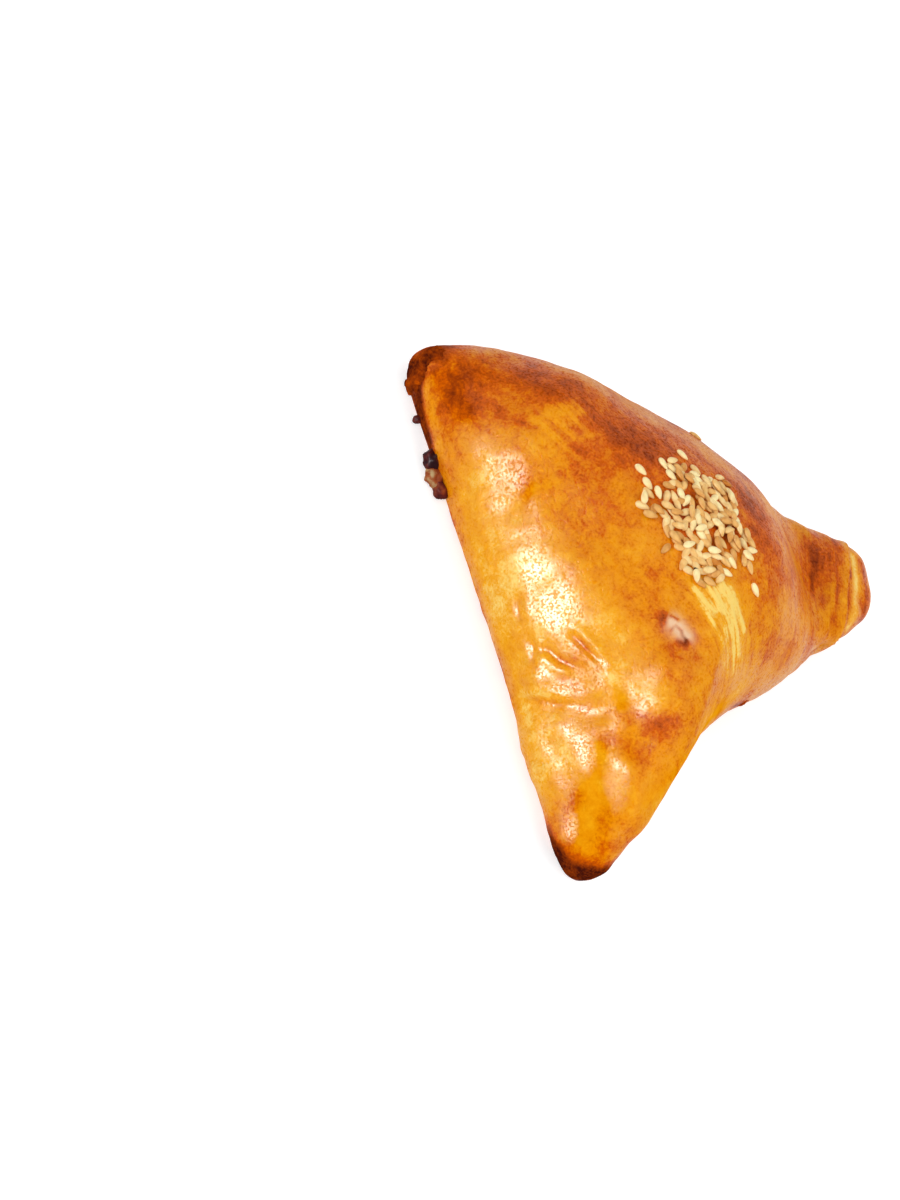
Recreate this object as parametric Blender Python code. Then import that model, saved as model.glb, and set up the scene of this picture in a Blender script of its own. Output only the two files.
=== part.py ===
"""Samsa: a baked three-cornered pasty with a domed filling and a sprinkle of sesame."""
import bpy
import bmesh
import math
import random
import numpy as np
from mathutils import Vector, noise

MM = 0.001

# The three tips in order round the pasty, sizes in millimetres:
# at: direction from the middle in degrees, reach: distance to the blunt end,
# end: width of that end, slant: how far one corner runs past the other,
# height: crest of the tip, neck: dip behind it, carry: share of the reach the dome covers.
TIPS = (
    dict(at=213.0, reach=65.4, end=13.4, slant=5.1, height=16.6, neck=-4.4, carry=0.65),
    dict(at=326.8, reach=66.6, end=6.6, slant=-2.1, height=12.4, neck=-1.1, carry=0.80),
    dict(at=87.8, reach=62.2, end=13.8, slant=1.2, height=14.6, neck=3.8, carry=0.44),
)
# The three sides, each from one tip to the next: outward bow, sway toward one end and
# a low swelling with its place along the side.
SIDES = (
    dict(bow=-0.3, sway=0.2, swell=0.0, at=0.5),
    dict(bow=-7.8, sway=-2.6, swell=0.9, at=0.56),
    dict(bow=-1.2, sway=-1.7, swell=0.0, at=0.5),
)
CORNER_ROUNDING = 3.5
OUTLINE_POINTS = 720

# Dome over the filling
DOME_HEIGHT = 33.6
DOME_MIDDLE = (-0.7, -3.2)
DOME_FALL = 0.2
DOME_REACH = 36.0
DOME_EDGE = 4.0
TIP_FOCUS = 5.7

# Wall: height of the widest line, roundness above it and tuck toward the base below it
RIM_SIDE = 7.0
RIM_TIP = 6.0
ROUND_SIDE = 2.38
ROUND_TIP = 2.5
TUCK = 3.0

# Creases pressed into the dough: from, to, depth and half width
CREASES = (
    ((18.0, -42.5, 6.0), (25.5, -35.5, 19.0), 0.9, 3.0),
    ((31.0, -41.5, 9.0), (42.5, -39.5, 12.5), 0.6, 3.2),
    ((10.0, -40.5, 13.0), (18.0, -37.0, 19.0), 0.5, 2.8),
)
# Rings where the far tip was rolled: distance along the tip, depth and half width
ROLLS = ((40.5, 0.6, 2.6), (47.5, 0.5, 2.4), (54.0, 0.5, 2.2))
# Seams under the base, where three flaps meet on the way to each tip
SEAM_DEPTH = 1.3
SEAM_WIDTH = 2.2
SEAM_START = 2.0
SEAM_END = 50.0
# Unevenness of the baked dough
LUMP_SIZE = 15.0
LUMP_DEPTH = 0.4
EDGE_SIZE = 5.0
EDGE_DEPTH = 0.35

# Browned scraps and leaked juice round the foot: middle and half sizes
SCRAPS = (
    ((-52.4, -40.8, 5.8), (2.5, 2.5, 3.4)),
    ((-53.9, -39.0, 7.6), (1.7, 2.0, 1.7)),
    ((-50.4, -42.0, 2.8), (3.0, 2.0, 2.8)),
    ((-42.6, -42.6, 1.5), (1.7, 1.9, 1.5)),
    ((-34.4, -42.9, 3.4), (2.2, 2.2, 2.2)),
    ((-29.8, -43.6, 1.9), (3.9, 3.0, 1.9)),
    ((-26.2, -42.6, 1.7), (2.4, 2.0, 1.7)),
    ((25.6, 9.6, 11.8), (1.7, 3.2, 3.0)),
    ((47.4, -40.0, 1.6), (3.4, 1.9, 1.6)),
    ((51.6, -37.4, 2.4), (2.2, 2.4, 2.4)),
)
SCRAP_ROUGHNESS = 0.28

# Sesame: heaps with middle, half sizes, turn in degrees and number of seeds
HEAPS = (
    ((-10.8, -15.8), (4.2, 4.2), 0.0, 15),
    ((-16.6, -10.2), (3.4, 2.6), 20.0, 7),
    ((-13.6, 1.0), (4.4, 2.6), 30.0, 8),
    ((-7.4, -8.4), (4.0, 3.6), 0.0, 12),
    ((-6.4, -3.0), (4.6, 4.2), 0.0, 15),
    ((-3.6, -12.6), (4.2, 3.0), 15.0, 9),
    ((-1.0, 0.2), (4.6, 3.0), 25.0, 11),
    ((3.6, -12.4), (3.6, 2.8), 20.0, 10),
    ((2.6, -5.4), (3.8, 3.4), 0.0, 8),
)
# Seeds that lie on their own: place and turn in degrees
STRAYS = (
    ((-17.8, -18.0), 30.0), ((-14.8, -17.6), 20.0), ((-20.4, -5.6), 25.0), ((-16.8, -4.4), 35.0),
    ((-1.4, -17.8), -60.0), ((8.8, 1.4), 25.0), ((4.4, 0.8), 10.0), ((-27.4, 8.6), 30.0),
)
SEED_LENGTH = 3.4
SEED_WIDTH = 2.1
SEED_THICKNESS = 1.15
SEED_SINK = 0.30
SEED_GAP = 1.75
SEED_LEAN = 29.0
SEED_DRAW = 11

# Mesh: fineness of the starting sphere, and the shares of the way from its top pole to
# its bottom pole that become the upper skin and the wall; the rest is the base
FINENESS = 5
TOP_SHARE = 0.735
WALL_SHARE = 0.12

# Where the middle of the finished pasty's base lies among the sizes above
MIDDLE = (-0.234, 7.829)


def direction(degrees):
    """Unit vector in plan."""
    angle = math.radians(degrees)
    return np.array((math.cos(angle), math.sin(angle)))


def tip_corners(tip):
    """Both corners of a tip's blunt end, in order round the outline."""
    along = direction(tip["at"])
    across = np.array((-along[1], along[0]))
    half = tip["end"] / 2 * across
    return (tip["reach"] - tip["slant"]) * along - half, (tip["reach"] + tip["slant"]) * along + half


def smooth_loop(values, spread):
    """Average a closed run of values over a bell of the given spread."""
    reach = int(3 * spread) + 1
    bell = np.exp(-0.5 * (np.arange(-reach, reach + 1) / spread) ** 2)
    padded = np.concatenate((values[-reach:], values, values[:reach]))
    return np.convolve(padded, bell / bell.sum(), "valid")


def outline():
    """Evenly spaced points round the pasty's widest line."""
    points = []
    for tip, side, after in zip(TIPS, SIDES, TIPS[1:] + TIPS[:1]):
        start, end = tip_corners(tip)
        for t in np.linspace(0, 1, 12, endpoint=False):
            points.append(start + (end - start) * t)
        run = tip_corners(after)[0] - end
        along = run / np.linalg.norm(run)
        outward = np.array((along[1], -along[0]))
        for t in np.linspace(0, 1, 60, endpoint=False):
            offset = side["bow"] * math.sin(math.pi * t) + side["sway"] * math.sin(2 * math.pi * t)
            offset += side["swell"] * math.exp(-((t - side["at"]) / 0.09) ** 2)
            points.append(end + run * t + outward * offset)
    points = np.array(points)
    loop = np.vstack((points, points[:1]))
    steps = np.linalg.norm(np.diff(loop, axis=0), axis=1)
    length = np.concatenate(((0.0,), np.cumsum(steps)))
    even = np.linspace(0, length[-1], OUTLINE_POINTS, endpoint=False)
    spread = CORNER_ROUNDING / (length[-1] / OUTLINE_POINTS)
    return np.stack([smooth_loop(np.interp(even, length, loop[:, k]), spread) for k in (0, 1)], 1)


def tip_shares(angle):
    """How much each tip has a say in this direction."""
    return [np.exp(TIP_FOCUS * (np.cos(angle - math.radians(tip["at"])) - 1)) for tip in TIPS]


def crest(x, y):
    """Height of the dough over the filling and along the tips, before its edge rounds off."""
    dx = x - DOME_MIDDLE[0]
    dy = y - DOME_MIDDLE[1]
    r = np.hypot(dx, dy)
    shares = tip_shares(np.arctan2(dy, dx))
    scale = np.maximum(1, sum(shares))
    out = (r / DOME_REACH) ** 2
    z = (1 - sum(shares) / scale) * DOME_HEIGHT * (1 - DOME_FALL * out / (1 + 0.2 * out))
    for tip, share in zip(TIPS, shares):
        t = r / tip["reach"]
        bell = 1 / (1 + (t / tip["carry"]) ** DOME_EDGE)
        ridge = tip["height"] + (DOME_HEIGHT - tip["height"]) * bell
        z = z + share / scale * (ridge - tip["neck"] * np.exp(-((t - 0.66) / 0.13) ** 2))
    return z


def edge_profile(angle):
    """Height of the widest line and roundness of the wall above it."""
    share = np.minimum(1, sum(tip_shares(angle)))
    return RIM_SIDE + (RIM_TIP - RIM_SIDE) * share, ROUND_SIDE + (ROUND_TIP - ROUND_SIDE) * share


def over_top(x, y, reach):
    """Height of the upper skin at a place, where reach is the outline's distance that way."""
    rim, roundness = edge_profile(np.arctan2(y, x))
    rho = np.minimum(1, np.hypot(x, y) / reach)
    return rim + (crest(x, y) - rim) * np.maximum(0, 1 - rho ** roundness) ** (1 / roundness)


def reach_at(loop, angle):
    """Distance from the middle to the outline in a direction."""
    around = np.arctan2(loop[:, 1], loop[:, 0])
    order = np.argsort(around)
    return np.interp(angle, around[order], np.hypot(loop[order, 0], loop[order, 1]), period=2 * math.pi)


def seam_rise(x, y):
    """How far the seams between the flaps reach up into the base."""
    r = np.hypot(x, y)
    rise = np.zeros_like(r)
    for tip in TIPS:
        along = direction(tip["at"])
        run = x * along[0] + y * along[1]
        off = np.abs(y * along[0] - x * along[1])
        fade = np.clip((SEAM_END - run) / 12, 0, 1) * np.clip((run + SEAM_START) / SEAM_START, 0, 1)
        rise = np.maximum(rise, SEAM_DEPTH * fade * np.exp(-(off / SEAM_WIDTH) ** 2))
    return rise


def fold_form(co):
    """Move a unit sphere's points onto the smooth pasty."""
    loop = outline()
    turn = np.mod(np.arctan2(co[:, 1], co[:, 0]) / (2 * math.pi), 1)
    down = np.arccos(np.clip(co[:, 2], -1, 1)) / math.pi
    place = np.concatenate((np.arange(OUTLINE_POINTS), (OUTLINE_POINTS,))) / OUTLINE_POINTS
    edge = [np.interp(turn, place, np.append(loop[:, k], loop[0, k])) for k in (0, 1)]
    reach = np.hypot(edge[0], edge[1])
    rim, roundness = edge_profile(np.arctan2(edge[1], edge[0]))
    top = np.clip(down / TOP_SHARE, 0, 1)
    wall = np.clip((down - TOP_SHARE) / WALL_SHARE, 0, 1) * math.pi / 2
    base = np.clip((down - TOP_SHARE - WALL_SHARE) / (1 - TOP_SHARE - WALL_SHARE), 0, 1)
    rho = np.sin(top * math.pi / 2)
    scale = (1 - TUCK * (1 - np.cos(wall)) / reach) * (1 - base) * rho
    x = edge[0] * scale
    y = edge[1] * scale
    z = rim + (crest(x, y) - rim) * np.maximum(0, 1 - rho ** roundness) ** (1 / roundness)
    z = np.where(wall > 0, rim * (1 - np.sin(wall)), z)
    z = np.where(base > 0, seam_rise(x, y), z)
    return np.stack((x, y, z), 1)


def off_segment(co, start, end):
    """Distance of each point from a straight crease."""
    start = np.array(start)
    run = np.array(end) - start
    t = np.clip((co - start) @ run / (run @ run), 0, 1)
    return np.linalg.norm(co - start - t[:, None] * run, axis=1)


def relief(co):
    """Outward shift of the skin from creases, rolled rings and unevenness."""
    shift = np.zeros(len(co))
    for start, end, depth, width in CREASES:
        shift -= depth * np.exp(-(off_segment(co, start, end) / width) ** 2)
    along = direction(TIPS[2]["at"])
    run = co[:, :2] @ along
    for at, depth, width in ROLLS:
        slope = 0.10 * (co[:, 1] * along[0] - co[:, 0] * along[1])
        shift -= depth * np.exp(-((run + slope - at) / width) ** 2)
    for k, point in enumerate(co):
        shift[k] += LUMP_DEPTH * noise.noise(Vector(point) / LUMP_SIZE)
        if point[2] < 12:
            shift[k] += EDGE_DEPTH * noise.noise(Vector(point) / EDGE_SIZE)
    return shift * np.clip(co[:, 2] / 1.5, 0, 1)


def read_points(mesh, field):
    """A mesh's points or normals as an array."""
    values = np.empty(len(mesh.vertices) * 3)
    mesh.vertices.foreach_get(field, values)
    return values.reshape(-1, 3)


def sphere_mesh(name, columns, rows=0):
    """A unit sphere, with even triangles where no rows are asked for."""
    bm = bmesh.new()
    if rows:
        bmesh.ops.create_uvsphere(bm, u_segments=columns, v_segments=rows, radius=1.0)
    else:
        bmesh.ops.create_icosphere(bm, subdivisions=columns, radius=1.0)
    mesh = bpy.data.meshes.new(name)
    bm.to_mesh(mesh)
    bm.free()
    return mesh


def to_frame(co):
    """Millimetres about the filling's middle into metres about the base's middle."""
    return (co - np.array((MIDDLE[0], MIDDLE[1], 0))) * MM


def make_crust():
    """The folded and baked dough."""
    mesh = sphere_mesh("samsa", FINENESS)
    co = fold_form(read_points(mesh, "co"))
    mesh.vertices.foreach_set("co", co.ravel())
    mesh.update()
    co = co + read_points(mesh, "normal") * relief(co)[:, None]
    co[:, 2] = np.maximum(0, co[:, 2])
    mesh.vertices.foreach_set("co", to_frame(co).ravel())
    mesh.update()
    return mesh


def make_scrap(number, middle, half):
    """One rough scrap of browned dough or leaked juice."""
    mesh = sphere_mesh("scrap", 8, 5)
    co = read_points(mesh, "co")
    for k, point in enumerate(co):
        swell = 1 + SCRAP_ROUGHNESS * noise.noise(Vector(point) * 1.7 + Vector((7.3 * number, 0, 0)))
        co[k] = point * swell
    co = co * np.array(half) + np.array(middle)
    co[:, 2] = np.maximum(0, co[:, 2])
    mesh.vertices.foreach_set("co", to_frame(co).ravel())
    return mesh


def seed_places():
    """Middle, turn and lift of every sesame seed, from a fixed draw."""
    draw = random.Random(SEED_DRAW)
    places = [(x, y, turn, 0.0) for (x, y), turn in STRAYS]
    for (mx, my), (a, b), turn, count in HEAPS:
        kept = 0
        for _ in range(400):
            if kept == count:
                break
            r = math.sqrt(draw.random())
            phi = draw.uniform(0, 2 * math.pi)
            u = a * r * math.cos(phi)
            v = b * r * math.sin(phi)
            c = math.cos(math.radians(turn))
            s = math.sin(math.radians(turn))
            x = mx + u * c - v * s
            y = my + u * s + v * c
            lean = SEED_LEAN + draw.gauss(0, 48)
            near = sum(math.hypot(x - p[0], y - p[1]) < SEED_GAP for p in places)
            if near > 1 or (near and draw.random() < 0.7):
                continue
            places.append((x, y, lean, 0.75 * near))
            kept += 1
    return places


def make_seed(x, y, turn, lift, loop):
    """One sesame seed lying on the dome, pointed at one end."""
    mesh = sphere_mesh("seed", 5, 4)
    co = read_points(mesh, "co")
    taper = 1 - 0.28 * co[:, 2]
    length = co[:, 2] * SEED_LENGTH / 2
    width = co[:, 0] * taper * SEED_WIDTH / 2
    thick = co[:, 1] * taper * SEED_THICKNESS / 2
    step = 0.5
    angles = [math.atan2(y + b, x + a) for a, b in ((0, 0), (step, 0), (0, step))]
    reach = [reach_at(loop, a) for a in angles]
    here = over_top(np.float64(x), np.float64(y), reach[0])
    slope_x = (over_top(np.float64(x + step), np.float64(y), reach[1]) - here) / step
    slope_y = (over_top(np.float64(x), np.float64(y + step), reach[2]) - here) / step
    up = Vector((-slope_x, -slope_y, 1)).normalized()
    along = Vector((math.cos(math.radians(turn)), math.sin(math.radians(turn)), 0))
    along = (along - along.dot(up) * up).normalized()
    across = up.cross(along)
    middle = Vector((x, y, here)) + up * (SEED_THICKNESS / 2 - SEED_SINK + lift)
    basis = np.array((along, across, up))
    co = np.stack((length, width, thick), 1) @ basis + np.array(middle)
    mesh.vertices.foreach_set("co", to_frame(co).ravel())
    return mesh


def add_object(name, mesh, collection):
    """Put a mesh into the scene as it stands."""
    body = bpy.data.objects.new(name, mesh)
    collection.objects.link(body)
    return body


def crust_material():
    """Egg-washed baked dough."""
    material = bpy.data.materials.new("baked_crust")
    material.use_nodes = True
    shader = material.node_tree.nodes["Principled BSDF"]
    shader.inputs["Base Color"].default_value = (0.66, 0.27, 0.035, 1)
    shader.inputs["Roughness"].default_value = 0.38
    return material


def keep_largest_shell(mesh):
    """Fill hollows that fusing sealed and drop loose scraps."""
    bm = bmesh.new()
    bm.from_mesh(mesh)
    unseen = set(bm.faces)
    shells = []
    while unseen:
        waiting = [unseen.pop()]
        shell = list(waiting)
        while waiting:
            face = waiting.pop()
            for edge in face.edges:
                for other in edge.link_faces:
                    if other in unseen:
                        unseen.remove(other)
                        shell.append(other)
                        waiting.append(other)
        shells.append(shell)
    shells.sort(key=len)
    for shell in shells[:-1]:
        bmesh.ops.delete(bm, geom=shell, context="FACES")
    bm.to_mesh(mesh)
    bm.free()


def fuse(body, extras):
    """Join everything in the collection to the body and drop the loose pieces."""
    join = body.modifiers.new("toppings", "BOOLEAN")
    join.operation = "UNION"
    join.operand_type = "COLLECTION"
    join.collection = extras
    join.solver = "EXACT"
    bpy.context.view_layer.update()
    graph = bpy.context.evaluated_depsgraph_get()
    joined = bpy.data.meshes.new_from_object(body.evaluated_get(graph))
    body.modifiers.clear()
    keep_largest_shell(joined)
    body.data = joined
    for extra in list(extras.objects):
        bpy.data.objects.remove(extra)
    bpy.data.collections.remove(extras)


def make_samsa():
    """The whole pasty as one solid."""
    for old in list(bpy.data.objects):
        bpy.data.objects.remove(old)
    home = bpy.data.collections.new("samsa")
    extras = bpy.data.collections.new("toppings")
    bpy.context.scene.collection.children.link(home)
    bpy.context.scene.collection.children.link(extras)
    body = add_object("samsa", make_crust(), home)
    for number, (middle, half) in enumerate(SCRAPS):
        add_object("scrap", make_scrap(number, middle, half), extras)
    loop = outline()
    for x, y, turn, lift in seed_places():
        add_object("seed", make_seed(x, y, turn, lift, loop), extras)
    fuse(body, extras)
    body.data.name = "samsa"
    body.data.materials.clear()
    body.data.materials.append(crust_material())
    body.data.shade_smooth()
    body.data.set_sharp_from_angle(angle=math.radians(40))


make_samsa()
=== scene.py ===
"""Samsa: a baked three-cornered pasty with a domed filling and a sprinkle of sesame."""

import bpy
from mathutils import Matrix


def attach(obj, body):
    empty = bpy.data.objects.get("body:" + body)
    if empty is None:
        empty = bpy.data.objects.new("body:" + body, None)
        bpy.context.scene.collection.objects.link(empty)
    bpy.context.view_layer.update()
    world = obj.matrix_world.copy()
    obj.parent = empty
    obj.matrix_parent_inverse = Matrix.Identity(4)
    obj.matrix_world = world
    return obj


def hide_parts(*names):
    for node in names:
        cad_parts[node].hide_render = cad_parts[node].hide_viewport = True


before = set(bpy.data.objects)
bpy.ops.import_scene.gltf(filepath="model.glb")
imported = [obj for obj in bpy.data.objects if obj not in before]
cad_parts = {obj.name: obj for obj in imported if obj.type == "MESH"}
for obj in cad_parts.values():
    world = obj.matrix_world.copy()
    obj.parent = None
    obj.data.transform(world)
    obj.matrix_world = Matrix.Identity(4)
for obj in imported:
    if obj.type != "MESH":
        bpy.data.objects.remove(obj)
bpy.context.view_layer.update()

import bpy
import bmesh
import math
import random
import numpy as np
from mathutils import Matrix, Vector, noise

bl_info = {
    "name": "Baked samsa",
    "version": (1, 0, 0),
    "blender": (4, 5, 0),
    "location": "3D View > Sidebar > Samsa",
    "description": "Builds a baked samsa with an egg-washed crust, sesame and browned scraps",
    "category": "Add Mesh",
}

MM = 0.001

# Form of the pasty in millimetres, the same as its solid.
# Tips: direction in degrees, reach, width and slant of the blunt end, height of the ridge, depth
# of the neck before the end, and the share of the reach over which the dome carries on
TIPS = (
    dict(at=213.0, reach=65.4, end=13.4, slant=5.1, height=16.6, neck=-4.4, carry=0.65),
    dict(at=326.8, reach=66.6, end=6.6, slant=-2.1, height=12.4, neck=-1.1, carry=0.80),
    dict(at=87.8, reach=62.2, end=13.8, slant=1.2, height=14.6, neck=3.8, carry=0.44),
)
# Sides: how far each bows out and sways to and fro, and the height and place of a swelling
SIDES = (
    dict(bow=-0.3, sway=0.2, swell=0.0, at=0.5),
    dict(bow=-7.8, sway=-2.6, swell=0.9, at=0.56),
    dict(bow=-1.2, sway=-1.7, swell=0.0, at=0.5),
)
# Outline: width of that swelling as a share of its side, steps along each blunt end and each side,
# how far its corners are rounded, and its points in all
SWELLING_WIDTH = 0.09
END_STEPS = 12
SIDE_STEPS = 60
CORNER_ROUNDING = 3.5
OUTLINE_POINTS = 720
# Dome: its middle, how much it falls away, how that eases and over what reach, how sharply it turns
# into the ridges, and the place and width of the necks as shares of a tip's reach
DOME_MIDDLE = (-0.7, -3.2)
DOME_FALL = 0.2
DOME_EASE = 0.2
DOME_REACH = 36.0
DOME_EDGE = 4.0
NECK_PLACE = 0.66
NECK_WIDTH = 0.13
# Edge: how narrowly the tips make themselves felt, the height of the widest line and the roundness
# above it at the sides and at the tips, and how far the wall tucks in under it
TIP_FOCUS = 5.7
RIM_SIDE = 7.0
RIM_TIP = 6.0
ROUND_SIDE = 2.38
ROUND_TIP = 2.5
TUCK = 3.0
# Creases: start, end, depth and half width
CREASES = (
    ((18.0, -42.5, 6.0), (25.5, -35.5, 19.0), 0.9, 3.0),
    ((31.0, -41.5, 9.0), (42.5, -39.5, 12.5), 0.6, 3.2),
    ((10.0, -40.5, 13.0), (18.0, -37.0, 19.0), 0.5, 2.8),
)
# Rings of the rolled tip: place along it, depth and half width
ROLLS = ((40.5, 0.6, 2.6), (47.5, 0.5, 2.4), (54.0, 0.5, 2.2))
# Seams in the base, and the low step of dough beside each
SEAM_DEPTH = 1.3
SEAM_WIDTH = 2.2
SEAM_START = 2.0
SEAM_END = 50.0
SEAM_FADE = 12.0
FLAP_STEP = 0.35
FLAP_EDGE = 0.9
FLAP_CARRY = 9.0
# Soft unevenness all over and, closer together, near the foot
LUMP_SIZE = 15.0
EDGE_SIZE = 5.0
EDGE_DEPTH = 0.35
# Middle of the base, seen from the filling's middle
MIDDLE = (-0.234, 7.829, 0.0)

# Mesh of the crust: shares of the way from its top pole to its bottom pole
TOP_SHARE = 0.76
WALL_SHARE = 0.10

# Fine wrinkles in the skin: a bent line, its depth, its half width, and the side on which
# the dough stands up beside it
WRINKLES = (
    (((11.0, -40.3, 12.6), (11.9, -39.3, 14.7), (14.5, -38.4, 16.0), (17.0, -36.4, 18.6)), 0.55, 0.8, (1, 0, 0)),
    (((9.7, -37.2, 18.8), (11.4, -36.1, 19.8), (14.4, -34.8, 20.8), (17.8, -33.4, 22.0)), 0.45, 0.75, (0, 1, 1)),
    (((18.5, -41.2, 4.5), (20.3, -40.3, 10.4), (21.6, -39.6, 12.4), (23.7, -37.7, 16.2)), 0.6, 0.8, (-1, 0, 0)),
    (((-0.1, -41.0, 12.9), (2.4, -41.4, 11.9), (4.8, -41.3, 11.7)), 0.3, 0.9, (0, 1, 1)),
    (((7.9, -40.7, 12.4), (11.0, -40.7, 11.9), (13.8, -41.0, 11.1)), 0.35, 0.9, (0, 1, 1)),
    (((30.3, -36.7, 17.5), (32.7, -33.7, 20.4), (36.0, -31.2, 21.8), (39.2, -30.2, 21.3)), 0.18, 1.8, (1, 0, 0)),
    (((31.4, -18.1, 27.6), (34.5, -20.9, 26.3), (38.5, -21.1, 23.0)), 0.15, 1.3, (1, 0, 0)),
    (((-54.0, -43.0, 7.0), (-51.6, -43.0, 9.2), (-50.2, -40.6, 12.4)), 0.3, 0.8, (1, 0, 0)),
)
# Form of a wrinkle, in its own widths: how soon its two sides part, and where its lip lies and
# how wide that is; the lip's height beside the furrow's depth; and how it fades at its ends
WRINKLE_PARTING = 0.7
LIP_PLACE = 1.8
LIP_WIDTH = 1.3
LIP_HEIGHT = 0.7
WRINKLE_ENDS = (0.04, 0.96)
WRINKLE_FADE = 1.6
# Thin raised strokes where the egg wash dried thick
STROKES = (
    (((5.5, -8.1, 33.3), (9.3, -7.3, 33.2), (12.3, -7.1, 32.9), (15.8, -5.8, 32.0), (20.2, -3.9, 28.8)), 0.22, 0.9),
    (((5.9, -11.2, 33.4), (8.9, -10.0, 33.1), (12.5, -9.6, 32.8)), 0.16, 0.7),
    (((8.2, -5.9, 33.3), (10.6, -5.6, 33.0), (12.8, -4.6, 32.2), (16.1, -2.7, 30.7)), 0.18, 0.7),
    (((7.5, -14.4, 32.2), (11.8, -12.8, 32.6), (14.5, -12.4, 32.5)), 0.12, 0.8),
)
# Soft swellings and hollows of the dough: a place or a bent line, its width and its height
SWELLS = (
    (((-31.0, -38.5, 17.0),), 7.0, 0.5),
    (((-18.0, -40.0, 15.5),), 4.5, -0.6),
    (((-3.0, -38.5, 17.0), (4.0, -38.5, 17.0)), 7.0, 0.3),
    (((0.0, -32.0, 23.5), (8.0, -31.0, 23.5)), 5.0, 0.7),
    (((17.0, -41.2, 9.5),), 3.8, 1.1),
    (((22.5, -40.0, 12.0),), 2.6, -0.5),
    (((28.0, -42.0, 4.6), (34.5, -41.5, 6.4)), 5.5, 1.5),
    (((19.0, -37.0, 16.5), (26.0, -36.5, 16.5)), 4.0, -0.6),
    (((23.0, -23.8, 28.8), (28.0, -24.6, 28.0)), 5.5, 1.9),
    (((39.0, -32.6, 20.6), (45.0, -32.2, 18.2)), 3.2, 1.2),
    (((34.0, -30.0, 23.5),), 2.5, -0.4),
    (((-52.3, -41.8, 10.0), (-49.5, -43.8, 6.0)), 4.0, -0.9),
    (((43.0, -41.0, 4.6), (48.0, -40.8, 4.8)), 3.2, 1.7),
    (((54.8, -38.0, 8.0),), 3.0, -1.0),
    (((51.8, -29.8, 10.9), (53.2, -31.4, 9.4)), 2.8, -1.3),
    (((49.2, -34.8, 14.1),), 2.0, 0.35),
    (((15.9, 41.0, 8.0), (17.0, 37.0, 8.5)), 3.6, -1.5),
    (((13.2, -20.8, 30.1), (16.2, -19.6, 30.4)), 2.2, 0.6),
    (((13.8, -20.6, 30.2), (15.6, -19.8, 30.4)), 0.8, -0.45),
)
# Laps of the rolled tip: where each lap ends across the tip in plan, the lift of its lip,
# the drop past it, how far the drop carries, and how much darker its edge is
LAPS = (
    (((-9.0, 57.5), (-3.9, 54.8), (2.6, 50.8), (6.9, 48.6), (12.9, 46.4), (18.0, 44.5)), 0.1, 0.6, 60.0, 0.12),
    (((-9.0, 51.3), (-4.2, 49.1), (2.4, 46.4), (7.8, 43.4), (13.0, 40.5), (18.0, 38.0)), 0.08, 0.14, 2.5, 0.07),
    (((-9.0, 44.6), (-5.7, 42.7), (-0.3, 40.6), (6.7, 35.0), (12.0, 30.6), (18.0, 26.0)), 0.06, 0.1, 3.0, 0.06),
)
# Their slant in plan, how far they wander, the softness of their edges, and their lips' place and width
LAP_SLANT = 0.88
LAP_WANDER = 0.5
LAP_EDGE = 0.6
LAP_LIP_PLACE = 0.4
LAP_LIP_WIDTH = 1.8
# The rolled tip starts here and is itself over this length; its rings run aslant, half as deep as the solid's
ROLLED_FROM = 18.0
ROLLED_OVER = 10.0
ROLL_SLANT = 0.10
ROLL_SHARE = 0.5
# Unevenness of the skin: sizes and depths of middling and small swells, and their depth at the foot
SKIN_CLOUDS = (6.0, 2.2)
SKIN_DEPTHS = (0.18, 0.07)
FOOT_DEPTH = 0.30
# Heights where the unevenness of the edge and of the foot ends, each with the height over which it fades
EDGE_TOP, EDGE_FADE = 12.0, 3.0
FOOT_TOP, FOOT_FADE = 3.2, 2.0
# Height over which relief fades in above the base
BASE_FADE = 1.5

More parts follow.
